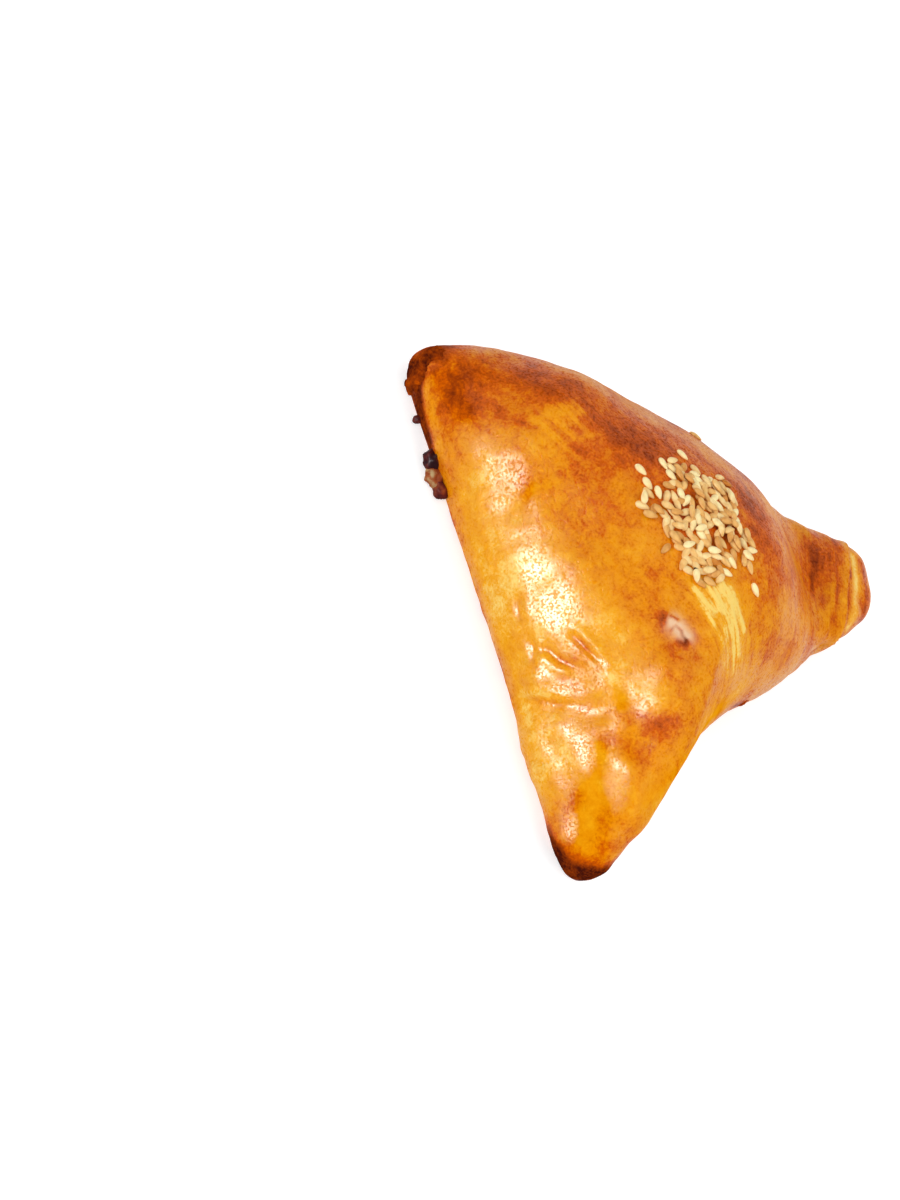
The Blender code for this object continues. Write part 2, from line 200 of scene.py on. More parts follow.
# Tints of the crust: a place or a bent line, its width, and how much it browns, leaves
# pale and dulls the dough there. Some tints are painted highlight, sheen or shade, as marked
TINTS = (
    # Browner on the far side: partly the crust's own browning, partly painted shade where that side faces away from
    # the main light
    (((-29.7, -9.9, 27.1),), 12.0, 0.20, 0.0, 0.0),
    (((-20.0, 12.0, 25.0),), 16.0, 0.17, 0.0, 0.0),
    (((-44.0, -28.0, 19.0), (-26.0, -22.0, 27.5)), 9.0, 0.16, 0.0, 0.0),
    (((-52.0, -40.0, 8.0), (-42.0, -40.0, 12.0)), 8.0, 0.20, 0.0, 0.3),
    (((-55.5, -36.0, 9.0), (-53.0, -43.0, 5.0)), 3.0, 0.18, 0.0, 0.8),
    (((-52.8, -41.8, 9.0), (-50.8, -43.7, 6.2), (-47.2, -44.0, 4.2), (-44.0, -43.7, 3.0), (-40.6, -43.4, 2.4),
      (-36.0, -43.2, 2.4)), 1.4, 0.38, 0.0, 0.7),
    (((-46.8, -43.7, 8.0), (-43.4, -43.8, 6.8), (-40.0, -43.6, 5.8)), 2.2, -0.10, 0.0, 0.3),
    (((-50.4, -42.4, 10.5), (-48.6, -43.3, 9.6)), 2.4, 0.14, 0.0, 0.2),
    (((-47.1, -39.0, 14.1), (-44.5, -37.0, 16.0)), 2.4, 0.08, 0.0, 0.0),
    (((-52.0, -43.6, 1.5), (-44.0, -43.9, 2.0), (-38.0, -44.2, 1.5), (-30.0, -44.8, 0.8)), 2.3, 0.52, 0.0, 0.8),
    # Paler along the near wall where the main light's highlights run: partly the wall's golden tone, partly painted
    # highlight
    (((-10.0, -40.0, 16.0), (20.0, -38.0, 17.0)), 9.0, -0.08, 0.0, 0.0),
    (((-24.0, -41.0, 12.0), (35.0, -40.0, 5.0)), 6.0, -0.20, 0.0, 0.0),
    (((-31.0, -27.0, 26.9), (-28.0, -32.5, 24.0)), 4.0, -0.20, 0.0, 0.0),
    (((10.0, -32.0, 24.0), (17.0, -27.0, 26.5), (22.0, -33.0, 22.0)), 5.0, -0.12, 0.0, 0.0),
    (((44.0, -40.6, 3.0), (50.5, -40.2, 4.2), (54.3, -38.6, 6.2), (55.0, -36.0, 6.4), (54.8, -33.4, 6.4)),
     2.3, 0.40, 0.0, 0.8),
    (((48.0, -40.3, 2.0), (53.0, -39.0, 2.5), (55.5, -36.0, 3.0)), 2.6, 0.34, 0.0, 0.8),
    (((54.6, -38.0, 8.2), (54.9, -34.0, 8.0)), 2.6, 0.22, 0.0, 0.4),
    (((50.0, -31.5, 12.0), (54.5, -31.5, 7.5)), 2.2, 0.14, 0.0, 0.0),
    (((2.5, 48.0, 12.4), (8.0, 42.0, 12.5)), 9.0, 0.04, 0.0, 0.3),
    (((-5.1, 41.8, 12.7), (3.2, 38.4, 12.7)), 2.2, 0.05, 0.0, 0.2),
    (((-4.0, 46.0, 12.4), (0.5, 36.0, 14.0)), 6.0, 0.03, 0.0, 0.0),
    (((-2.9, 55.2, 11.1), (2.5, 54.2, 11.1), (6.9, 51.4, 11.6), (12.4, 48.9, 9.9)), 1.3, -0.50, 0.1, 0.0),
    (((-0.8, 58.2, 10.9), (4.5, 58.4, 9.9), (9.0, 56.0, 9.8)), 2.2, 0.22, 0.0, 0.3),
    # Painted sheen: a pale pinkish band where the dome falls to the rolled tip
    (((-9.8, 38.0, 12.3), (1.8, 18.9, 27.4), (8.5, 13.9, 29.2), (14.0, 13.2, 27.2), (20.4, 15.6, 20.6)),
     2.6, 0.0, 0.10, 0.4),
    (((18.7, 18.6, 21.0), (10.0, 26.0, 20.0)), 5.0, 0.03, 0.0, 0.5),
    (((-4.5, 50.0, 12.4), (-1.5, 47.0, 12.7), (-3.0, 43.5, 12.8)), 4.6, 0.10, 0.0, 0.0),
    (((27.0, -0.8, 19.0), (30.0, -9.0, 22.0), (36.0, -18.0, 22.0), (45.0, -27.0, 17.0)), 6.0, -0.12, 0.0, 0.8),
    (((-46.0, -41.0, 12.0), (-36.0, -42.0, 12.0)), 4.0, 0.0, 0.0, 0.8),
    (((-17.0, -39.0, 17.5),), 3.5, 0.0, 0.0, 0.8),
    (((-18.6, -35.6, 21.4),), 3.2, -0.05, 0.0, 0.7),
    (((40.8, -37.8, 13.8), (45.4, -38.9, 11.5)), 3.0, -0.18, 0.0, 0.0),
    (((18.0, -35.5, 19.0), (26.0, -33.4, 20.5), (31.0, -35.0, 18.5), (36.5, -36.2, 16.5), (44.0, -37.7, 13.4),
      (50.0, -39.0, 10.5)), 3.2, -0.03, 0.0, 0.65),
    (((24.1, -32.1, 23.3), (29.2, -32.1, 22.8), (36.0, -32.6, 21.2)), 2.0, -0.03, 0.0, 0.7),
    (((43.0, -38.2, 13.4), (50.0, -38.8, 11.0)), 5.4, 0.04, 0.0, 1.0),
    # Painted highlight: paler colour where the main light shines on the blunt tip, with a thicker wash
    (((49.2, -34.8, 14.1),), 2.0, -0.10, 0.0, -0.7),
    # Painted highlight: paler colour where the main light shines on the swelling above, with a thicker wash
    (((24.5, -28.5, 25.8),), 4.4, -0.26, 0.0, -0.9),
    # Painted highlight: paler colour where the main light shines low on the wall, with a thicker wash
    (((26.5, -41.0, 8.5), (30.0, -40.0, 11.5), (34.5, -39.2, 12.5)), 2.8, -0.14, 0.0, -0.9),
    (((31.5, -36.8, 17.4), (36.5, -35.6, 18.0)), 2.6, 0.0, 0.0, 0.6),
    # Painted highlight: paler colour where the main light shines on the ridge, with a thicker wash
    (((38.0, -34.8, 18.2), (43.5, -34.4, 16.6)), 2.6, -0.18, 0.0, -0.8),
    # Painted highlight: paler colour where the main light shines, with a thicker wash
    (((17.5, -40.4, 12.2),), 3.0, -0.10, 0.0, -0.6),
    # Painted highlight: paler colour where the main light shines near the long tip
    (((-25.0, -39.9, 16.6),), 5.5, -0.12, 0.0, 0.25),
    (((-9.5, -38.7, 17.9),), 3.0, 0.0, 0.0, 0.45),
    # Painted highlight: paler colour where the main light shines broadest, with a thicker wash
    (((-4.0, -38.5, 18.0), (8.0, -37.0, 19.0)), 6.5, -0.17, 0.0, -0.8),
    (((13.2, -20.8, 30.6), (16.4, -19.4, 31.0)), 1.7, -0.10, 1.3, 0.2),
    (((14.6, -20.2, 30.7),), 4.4, 0.14, 0.0, 0.0),
    (((11.0, -22.0, 29.9), (12.4, -22.6, 29.9)), 1.0, 0.30, -0.8, 0.0),
    (((12.0, -20.7, 30.6), (12.9, -19.8, 30.9)), 0.45, 0.30, -1.1, 0.0),
    (((14.6, -21.7, 30.4), (13.9, -20.5, 30.8), (15.2, -19.7, 30.9), (16.2, -19.9, 31.0), (17.3, -19.3, 31.1)),
     0.45, 0.30, -1.1, 0.0),
    (((17.4, -20.7, 30.8), (17.8, -19.6, 31.0)), 1.0, 0.26, -0.8, 0.0),
    (((24.0, -32.5, 23.0), (31.6, -28.3, 25.6), (32.8, -24.0, 27.6)), 1.9, 0.13, 0.0, 0.1),
    (((31.6, -27.1, 26.7), (32.3, -23.8, 28.1)), 2.0, 0.12, 0.0, 0.0),
    (((34.9, -28.9, 23.5),), 4.0, 0.09, 0.0, 0.0),
    # Painted shade: darker along a crease
    (((31.0, -35.5, 19.0), (37.0, -30.5, 22.0)), 1.5, 0.10, 0.0, 0.0),
    (((-24.0, -43.0, 6.5), (0.0, -42.6, 6.5), (22.0, -41.5, 5.5)), 1.6, -0.10, 0.0, 0.3),
    (((10.0, -9.7, 32.9), (19.5, -6.0, 30.0)), 5.0, -0.33, 0.0, 0.0),
    (((-15.7, 10.8, 28.1), (-8.2, 8.9, 31.6), (-1.8, 8.6, 32.8), (4.5, 9.5, 31.5)), 4.5, 0.16, 0.0, 0.0),
    (((14.0, 3.0, 30.5),), 4.0, 0.06, 0.0, 0.0),
    (((26.1, 10.3, 11.7), (27.0, 6.0, 13.0)), 1.2, 0.34, 0.0, 0.3),
    # Painted sheen along the far upper edge: paler, with a bare-dough tint, standing in for the room's reflection at
    # a grazing angle
    (((-42.3, -15.9, 21.1), (-32.9, -5.2, 23.8), (-23.3, 5.7, 26.4), (-16.2, 12.8, 26.9), (-8.8, 22.3, 24.1)),
     5.0, -0.14, 0.16, 0.3),
    (((-12.0, -12.0, 30.0), (-2.0, -5.0, 33.0)), 8.0, 0.12, 0.0, 0.0),
)
# Fine streaks where the dough was stretched: a place or a bent line, its width and their strength
STREAKS = (
    (((7.6, -10.7, 33.0), (14.0, -8.5, 32.0), (19.5, -6.0, 30.0)), 5.5, 1.1),
    (((-31.0, -27.0, 26.9), (-28.0, -32.5, 24.0)), 5.0, 0.5),
    (((6.0, 16.4, 28.5), (17.5, 16.4, 23.3)), 5.0, 0.25),
    (((24.0, 0.0, 24.0), (32.0, -14.0, 23.0), (42.0, -24.0, 20.0)), 6.0, 0.25),
)
# Slope in plan of the streaks at three places across the pasty, how little they change along it
# beside across it, and how streaky the skin and the rolled tip are everywhere
STREAK_SLOPES = ((-15.0, 16.0, 48.0), (0.54, 0.0, -0.5))
STREAK_STRETCH = 0.12
STREAKY_SKIN = 0.10
STREAKY_TIP = 0.16
# Browning of the whole crust, the sizes of its clouds, how far the first moves the tints, and
# the width up to which a tint isn't moved
CRUST_BAKE = 0.45
TINT_CLOUDS = (9.0, 6.0, 3.0)
TINT_WANDER = 2.5
FIRM_TINT = 3.0
CLOUD_BROWNING = (0.12, 0.07)
# Browning of a lap: its strength, its least, swing and most along the lap, the places of its dark
# edge and of the pale band before it, how wide they are, and how pale the band is
LAP_BROWNING = 1.6
LAP_PATCHES = (0.8, 1.2, 1.5)
LAP_DARK = 0.5
LAP_PALE = 1.1
LAP_BAND = 0.9
LAP_PALENESS = 0.6
# Painted shade in the furrows of wrinkles and painted light on their lips, paleness of strokes, and browning and
# dulling at the foot with the heights they reach
WRINKLE_SHADING = 0.30
STROKE_PALENESS = 0.40
FOOT_BROWN_TO, FOOT_BROWNING, FOOT_SWING = 1.8, 0.16, 0.25
FOOT_DULL_TO, FOOT_DULLING = 1.2, 0.8

# Lumps of browned dough at one corner and a scrap on the far edge: middle, half sizes and browning
LUMPS = (
    ((-52.0, -40.2, 5.6), (2.4, 2.2, 3.2), 0.85),
    ((-52.0, -41.0, 9.3), (1.7, 1.6, 1.7), 0.85),
    ((-50.9, -42.2, 7.2), (1.8, 1.7, 2.0), 0.85),
    ((-49.3, -42.6, 4.4), (2.0, 1.6, 2.2), 0.85),
    ((-48.8, -42.4, 2.4), (2.4, 1.4, 2.4), 0.85),
    ((25.2, 9.6, 11.6), (1.2, 2.0, 1.4), 0.74),
)
LUMP_DULL = 1.5
# Leaked juice that caught on the tray, and a spot of it among the seeds: middle, half sizes and
# how much of it is pale crumb
SPILLS = (
    ((-41.7, -43.0, 1.0), (0.9, 1.2, 0.9), -0.1),
    ((-32.7, -42.9, 1.8), (2.2, 2.1, 1.8), -0.2),
    ((-29.4, -43.5, 1.5), (2.2, 2.0, 1.5), 0.32),
    ((-26.7, -42.9, 1.4), (2.2, 1.6, 1.4), 0.05),
    ((3.9, -13.4, 33.3), (0.5, 0.45, 0.30), -0.6),
)
# Roughness of a lump: share and frequency of its coarse and fine parts, and the step that makes
# each lump differ. Then how much browning and crumb swing, and the size of those swings
LUMP_ROUGHNESS = ((0.67, 1.7), (0.33, 4.1))
LUMP_STEP = 7.3
BROWN_SWING = 0.16
CRUMB_SWING = 0.25
SWING_SIZE = 2.0

# Sesame: heaps with middle, half sizes, turn in degrees and number of seeds
HEAPS = (
    ((-10.8, -15.8), (4.2, 4.2), 0.0, 15),
    ((-16.6, -10.2), (3.4, 2.6), 20.0, 7),
    ((-13.6, 1.0), (4.4, 2.6), 30.0, 8),
    ((-7.4, -8.4), (4.0, 3.6), 0.0, 12),
    ((-6.4, -3.0), (4.6, 4.2), 0.0, 15),
    ((-3.6, -12.6), (4.2, 3.0), 15.0, 9),
    ((-1.0, 0.2), (4.6, 3.0), 25.0, 11),
    ((3.6, -12.4), (3.6, 2.8), 20.0, 10),
    ((2.6, -5.4), (3.8, 3.4), 0.0, 8),
)
# Seeds that lie on their own: place and turn in degrees
STRAYS = (
    ((-17.8, -18.0), 30.0), ((-14.8, -17.6), 20.0), ((-20.4, -5.6), 25.0), ((-16.8, -4.4), 35.0),
    ((-1.4, -17.8), -60.0), ((8.8, 1.4), 25.0), ((4.4, 0.8), 10.0), ((-27.4, 8.6), 30.0),
)
# Small seeds that fill in between the others: middle, half sizes, turn and number
FILL = (
    ((-8.0, -3.0), (7.0, 5.0), 20.0, 19),
    ((-5.0, -12.0), (7.0, 4.5), 10.0, 19),
    ((2.0, -9.0), (4.5, 5.5), 0.0, 11),
    ((-12.0, -9.0), (5.5, 5.0), 0.0, 8),
)
# Laying of the seeds in millimetres and degrees: how deep they sink, how near they may lie in heaps
# and as filling, their usual turn and its spread, the lift for each seed underneath, the chance that a
# seed isn't laid on another, and the tries for each heap
SEED_SINK = 0.30
SEED_GAP = 1.6
FILL_GAP = 1.2
SEED_LEAN = 29.0
SEED_SPREAD = 48.0
SEED_LIFT = 0.75
SEED_SHYNESS = 0.7
SEED_TRIES = 400
# Their sizes beside the usual one, and their taper toward the point
SEED_SIZES = (0.92, 1.04)
SEED_TAPER = (0.28, 0.10)
# Toast of the seeds: middle and spread, the most of it, what a share of them has more, and what
# the point has more; then the painted shade on the underside, below a height
SEED_TOAST = (0.17, 0.18)
TOAST_MOST = 0.4
DARK_TOAST = 0.15
DARK_SHARE = 0.10
POINT_TOAST = 0.10
UNDER_SHADE = 0.38
UNDER_HEIGHT = 0.25
# Step in millimetres over which the slope under a seed is taken
SLOPE_STEP = 0.5
# Fixed draws of the seeds and of the clouds
SEED_DRAW = 11
CLOUD_DRAW = 1

# Finish of the dough: size in millimetres, detail, roughness and swirl of its patches of wash,
# its blotches and its grain, and how much the last two and the streaks brown it
DOUGH_PATTERNS = ((9.0, 3.0, 0.55, 0.5), (2.0, 4.5, 0.7, 0.4), (0.5, 2.0, 0.5, 0.0))
BLOTCH_BROWNING = 0.58
GRAIN_BROWNING = 0.28
STREAK_BROWNING = 1.2
STREAK_SIZE = 1.5
DOUGH_NAME = "egg_washed_baked_dough"
# Colour sockets of a Mix node, whose names are shared by its other sockets
MIX_FROM, MIX_TO, MIX_RESULT = 6, 7, 2

# Lights: name, direction, distance and sizes in metres, power beside the main light's, and
# whether it shows in gleams and in matt light
LIGHTS = (
    ("main_window", (-0.085, -0.918, 0.392), 0.8, (0.20, 0.40), 2.7, True, False),
    ("main_fill", (-0.085, -0.918, 0.392), 0.8, (0.5, 0.5), 1.0, False, True),
    ("side_card", (0.85, 0.20, 0.50), 1.0, (1.0, 1.0), 1.0, False, True),
    ("back_card", (-0.50, 0.80, 0.45), 1.0, (1.0, 1.0), 0.8, False, True),
    ("top_card", (0.15, 0.15, 1.0), 1.1, (1.2, 1.2), 0.8, False, True),
)
# Rise of a direction, either side of level, over which the table's light turns into the room's
HORIZON = 0.1
# Camera: where it stands round the pasty in degrees, its distance in millimetres, and the
# point of the 900 by 1200 picture where the middle of the filling's foot lies
CAMERA_TURN = 19.11
CAMERA_RISE = 47.45
CAMERA_ROLL = 59.77
CAMERA_DISTANCE = 677.0
CAMERA_AIM = (633.2, 604.7)
CAMERA_LENS = 100.0
SENSOR = 36.0
PICTURE = (900, 1200)
# Half the floor's width in metres, and the gap that keeps it from sharing a plane with the base
FLOOR_HALF = 4.0
FLOOR_GAP = 0.05 * MM


def srgb(code):
    """Linear colour of an sRGB hex value."""
    parts = [int(code[k:k + 2], 16) / 255 for k in (1, 3, 5)]
    return [p / 12.92 if p <= 0.04045 else ((p + 0.055) / 1.055) ** 2.4 for p in parts] + [1.0]


# --- Form of the dough ---


def direction(degrees):
    """Unit vector in plan."""
    angle = math.radians(degrees)
    return np.array((math.cos(angle), math.sin(angle)))


def tip_corners(tip):
    """Both corners of a tip's blunt end, in order round the outline."""
    along = direction(tip["at"])
    across = np.array((-along[1], along[0]))
    half = tip["end"] / 2 * across
    return (tip["reach"] - tip["slant"]) * along - half, (tip["reach"] + tip["slant"]) * along + half


def bell(off, width):
    """One at no distance off, and next to nothing at twice the width."""
    return np.exp(-(off / width) ** 2)


def smooth_loop(values, spread):
    """Average a closed run of values over a bell of the given spread."""
    reach = int(3 * spread) + 1
    weights = np.exp(-0.5 * (np.arange(-reach, reach + 1) / spread) ** 2)
    padded = np.concatenate((values[-reach:], values, values[:reach]))
    return np.convolve(padded, weights / weights.sum(), "valid")


def outline():
    """Evenly spaced points round the pasty's widest line."""
    points = []
    for tip, side, after in zip(TIPS, SIDES, TIPS[1:] + TIPS[:1]):
        start, end = tip_corners(tip)
        for t in np.linspace(0, 1, END_STEPS, endpoint=False):
            points.append(start + (end - start) * t)
        run = tip_corners(after)[0] - end
        along = run / np.linalg.norm(run)
        outward = np.array((along[1], -along[0]))
        for t in np.linspace(0, 1, SIDE_STEPS, endpoint=False):
            offset = side["bow"] * math.sin(math.pi * t) + side["sway"] * math.sin(2 * math.pi * t)
            offset += side["swell"] * math.exp(-((t - side["at"]) / SWELLING_WIDTH) ** 2)
            points.append(end + run * t + outward * offset)
    points = np.array(points)
    loop = np.vstack((points, points[:1]))
    steps = np.linalg.norm(np.diff(loop, axis=0), axis=1)
    length = np.concatenate(((0.0,), np.cumsum(steps)))
    even = np.linspace(0, length[-1], OUTLINE_POINTS, endpoint=False)
    spread = CORNER_ROUNDING / (length[-1] / OUTLINE_POINTS)
    return np.stack([smooth_loop(np.interp(even, length, loop[:, k]), spread) for k in (0, 1)], 1)


def tip_shares(angle):
    """How much each tip has a say in this direction."""
    return [np.exp(TIP_FOCUS * (np.cos(angle - math.radians(tip["at"])) - 1)) for tip in TIPS]


def crest(x, y, dome):
    """Height of the dough over the filling and along the tips, before its edge rounds off."""
    dx = x - DOME_MIDDLE[0]
    dy = y - DOME_MIDDLE[1]
    r = np.hypot(dx, dy)
    shares = tip_shares(np.arctan2(dy, dx))
    scale = np.maximum(1, sum(shares))
    out = (r / DOME_REACH) ** 2
    z = (1 - sum(shares) / scale) * dome * (1 - DOME_FALL * out / (1 + DOME_EASE * out))
    for tip, share in zip(TIPS, shares):
        t = r / tip["reach"]
        carried = 1 / (1 + (t / tip["carry"]) ** DOME_EDGE)
        ridge = tip["height"] + (dome - tip["height"]) * carried
        z = z + share / scale * (ridge - tip["neck"] * bell(t - NECK_PLACE, NECK_WIDTH))
    return z


def edge_profile(angle):
    """Height of the widest line and roundness of the wall above it."""
    share = np.minimum(1, sum(tip_shares(angle)))
    return RIM_SIDE + (RIM_TIP - RIM_SIDE) * share, ROUND_SIDE + (ROUND_TIP - ROUND_SIDE) * share


def upper_skin(x, y, rho, rim, roundness, dome):
    """Height of the upper skin, where rho is the share of the way out to the widest line."""
    return rim + (crest(x, y, dome) - rim) * np.maximum(0, 1 - rho ** roundness) ** (1 / roundness)


def over_top(x, y, reach, dome):
    """Height of the upper skin at a place, where reach is the outline's distance that way."""
    rim, roundness = edge_profile(np.arctan2(y, x))
    return upper_skin(x, y, np.minimum(1, np.hypot(x, y) / reach), rim, roundness, dome)


def reach_at(loop, angle):
    """Distance from the middle to the outline in a direction."""
    around = np.arctan2(loop[:, 1], loop[:, 0])
    order = np.argsort(around)
    return np.interp(angle, around[order], np.hypot(loop[order, 0], loop[order, 1]), period=2 * math.pi)


def seam_rise(x, y):
    """How far the seams between the flaps, and the step beside each, reach up into the base."""
    rise = np.zeros_like(x)
    for tip in TIPS:
        along = direction(tip["at"])
        run = x * along[0] + y * along[1]
        off = y * along[0] - x * along[1]
        fade = np.clip((SEAM_END - run) / SEAM_FADE, 0, 1) * np.clip((run + SEAM_START) / SEAM_START, 0, 1)
        groove = SEAM_DEPTH * bell(off, np.where(off > 0, SEAM_WIDTH, FLAP_EDGE))
        lap = FLAP_STEP * np.exp(-np.maximum(0, off) / FLAP_CARRY) * np.clip(1 + off / FLAP_EDGE, 0, 1)
        rise = np.maximum(rise, fade * np.maximum(groove, lap))
    return rise


def fold_form(co, dome):
    """Move a unit sphere's points onto the smooth pasty."""
    loop = outline()
    turn = np.mod(np.arctan2(co[:, 1], co[:, 0]) / (2 * math.pi), 1)
    down = np.arccos(np.clip(co[:, 2], -1, 1)) / math.pi
    place = np.concatenate((np.arange(OUTLINE_POINTS), (OUTLINE_POINTS,))) / OUTLINE_POINTS
    edge = [np.interp(turn, place, np.append(loop[:, k], loop[0, k])) for k in (0, 1)]
    reach = np.hypot(edge[0], edge[1])
    rim, roundness = edge_profile(np.arctan2(edge[1], edge[0]))
    top = np.clip(down / TOP_SHARE, 0, 1)
    wall = np.clip((down - TOP_SHARE) / WALL_SHARE, 0, 1) * math.pi / 2
    base = np.clip((down - TOP_SHARE - WALL_SHARE) / (1 - TOP_SHARE - WALL_SHARE), 0, 1)
    rho = np.sin(top * math.pi / 2)
    scale = (1 - TUCK * (1 - np.cos(wall)) / reach) * (1 - base) * rho
    x = edge[0] * scale
    y = edge[1] * scale
    z = upper_skin(x, y, rho, rim, roundness, dome)
    z = np.where(wall > 0, rim * (1 - np.sin(wall)), z)
    z = np.where(base > 0, seam_rise(x, y), z)
    return np.stack((x, y, z), 1)


# --- Relief and tints of the skin ---


def nearest_on(co, path):
    """Step to each point from a place or the nearest spot on a bent line, how long the step is,
    and the share of the way along the line."""
    path = np.array(path, float)
    step = co - path[0]
    best = np.linalg.norm(step, axis=1)
    share = np.zeros(len(co))
    for k, (start, end) in enumerate(zip(path[:-1], path[1:])):
        run = end - start
        t = np.clip((co - start) @ run / (run @ run), 0, 1)
        away = co - start - t[:, None] * run
        far = np.linalg.norm(away, axis=1)
        closer = far < best
        best = np.where(closer, far, best)
        step[closer] = away[closer]
        share = np.where(closer, (k + t) / (len(path) - 1), share)
    return step, best, share


def near_path(co, path, width):
    """One on a place or a bent line, falling to nothing beside it."""
    return bell(nearest_on(co, path)[1], width)


def wrinkle(co, path, width, lip):
    """Fold of the skin from 1 in its furrow to below 0 on the lip beside it, fading at its ends."""
    step, far, share = nearest_on(co, path)
    side = np.clip(step @ np.array(lip) / (WRINKLE_PARTING * width), -1, 1)
    fade = np.clip(np.sin(math.pi * np.clip(share, *WRINKLE_ENDS)) * WRINKLE_FADE, 0, 1)
    raised = LIP_HEIGHT * np.clip(side, 0, 1) * bell(far - LIP_PLACE * width, LIP_WIDTH * width)
    return (bell(far, width) - raised) * fade


def clouds(co, size):
    """Even random swells of the given size in millimetres, from about -1 to 1."""
    return np.array([noise.noise(Vector(point) / size) for point in co])


def three_clouds(co, size):
    """Three sets of random swells of the same size. Blender starts their draw from the clock, so it is set."""
    noise.seed_set(CLOUD_DRAW)
    return np.array([noise.noise_vector(Vector(point) / size) for point in co]).T


def past_lap(co, line, wander):
    """How far each point lies past a lap's edge, toward the end of the rolled tip."""
    xs, ys = np.array(line).T
    return LAP_SLANT * (co[:, 1] - np.interp(co[:, 0], xs, ys)) + LAP_WANDER * wander


def on_tip(co):
    """One on the rolled tip, falling to nothing on the dome."""
    return np.clip((co[:, 1] - ROLLED_FROM) / ROLLED_OVER, 0, 1)


def relief(co, normals, lumps):
    """Outward shift of the skin from creases, laps, wash, swells and unevenness."""
    shift = np.zeros(len(co))
    middling, small = (three_clouds(co, size) for size in SKIN_CLOUDS)
    for start, end, depth, width in CREASES:
        shift -= depth * near_path(co, (start, end), width)
    along = direction(TIPS[2]["at"])
    side = np.sqrt(np.clip(1 - (normals[:, :2] @ along) ** 2, 0, 1))
    run = co[:, :2] @ along + ROLL_SLANT * (co[:, 1] * along[0] - co[:, 0] * along[1])
    for at, depth, width in ROLLS:
        shift -= ROLL_SHARE * depth * bell(run - at, width)
    for line, lip, drop, carry, _ in LAPS:
        off = past_lap(co, line, middling[0])
        rise = lip * bell(np.minimum(0, off + LAP_LIP_PLACE), LAP_LIP_WIDTH) * np.clip(0.5 - off / LAP_EDGE, 0, 1)
        fall = drop * np.clip(0.5 + off / LAP_EDGE, 0, 1) * np.exp(-np.maximum(0, off) / carry)
        shift += (rise - fall) * side * on_tip(co)
    for path, radius, height in SWELLS:
        shift += height * near_path(co, path, radius)
    for path, depth, width, lip in WRINKLES:
        shift -= depth * wrinkle(co, path, width, lip)
    for path, height, width in STROKES:
        shift += height * near_path(co, path, width)
    low = np.clip((EDGE_TOP - co[:, 2]) / EDGE_FADE, 0, 1)
    foot = np.clip((FOOT_TOP - co[:, 2]) / FOOT_FADE, 0, 1)
    shift += lumps * clouds(co, LUMP_SIZE) + EDGE_DEPTH * low * clouds(co, EDGE_SIZE)
    shift += SKIN_DEPTHS[0] * middling[1] + SKIN_DEPTHS[1] * small[0] + FOOT_DEPTH * foot * small[1]
    return shift * np.clip(co[:, 2] / BASE_FADE, 0, 1)


def tints(co):
    """Browning, paleness, dullness and streaks of the skin at each point."""
    wide, middling, small = (three_clouds(co, size) for size in TINT_CLOUDS)
    moved = co + TINT_WANDER * wide.T
    browning_and_shading = np.full(len(co), CRUST_BAKE)
    pale_and_sheen = np.zeros(len(co))
    dull = np.zeros(len(co))
    for path, width, more_browning_and_shading, more_pale_and_sheen, more_dull in TINTS:
        near = near_path(moved if width > FIRM_TINT else co, path, width)
        browning_and_shading += more_browning_and_shading * near
        pale_and_sheen += more_pale_and_sheen * near
        dull += more_dull * near
    least, swing, most = LAP_PATCHES
    for line, *_, dark in LAPS:
        off = past_lap(co, line, middling[0])
        uneven = on_tip(co) * np.clip(least + swing * middling[2], 0, most)
        edge = bell(off - LAP_DARK, LAP_BAND) - LAP_PALENESS * bell(off + LAP_PALE, LAP_BAND)
        browning_and_shading += LAP_BROWNING * dark * uneven * edge
    # Painted shade darkens the furrow of each wrinkle, and painted light pales its lip
    for path, depth, width, lip in WRINKLES:
        browning_and_shading += WRINKLE_SHADING * depth * wrinkle(co, path, width, lip)
    for path, _, width in STROKES:
        browning_and_shading -= STROKE_PALENESS * near_path(co, path, width)
    browning_and_shading += CLOUD_BROWNING[0] * wide[1] + CLOUD_BROWNING[1] * small[0]
    browning_and_shading += bell(co[:, 2], FOOT_BROWN_TO) * (FOOT_BROWNING + FOOT_SWING * middling[1])
    dull += FOOT_DULLING * bell(co[:, 2], FOOT_DULL_TO)
    streaky = STREAKY_SKIN + STREAKY_TIP * on_tip(co)
    for path, width, strength in STREAKS:
        streaky += strength * near_path(co, path, width)
    across = co[:, 1] - np.interp(co[:, 1], *STREAK_SLOPES) * co[:, 0]
    return dict(browning_and_shading=np.clip(browning_and_shading, 0, 0.95), pale_and_sheen=np.clip(pale_and_sheen, 0, 1), dull=np.clip(dull, -1, 2),
                streaky=streaky, across=across, along=STREAK_STRETCH * co[:, 0])


def read_points(mesh, field):
    """A mesh's points or normals as an array."""
    values = np.empty(len(mesh.vertices) * 3)
    mesh.vertices.foreach_get(field, values)
    return values.reshape(-1, 3)


def to_frame(co):
    """Millimetres about the filling's middle into metres about the base's middle."""
    return (co - np.array(MIDDLE)) * MM


def paint(mesh, name, values):
    """Keep a number for each point of a mesh, for its material to read."""
    mesh.attributes.new(name, "FLOAT", "POINT").data.foreach_set("value", np.asarray(values, np.float32))


def to_mesh(bm, name):
    """Turn what was modelled into a mesh."""
    mesh = bpy.data.meshes.new(name)
    bm.to_mesh(mesh)
    bm.free()
    return mesh


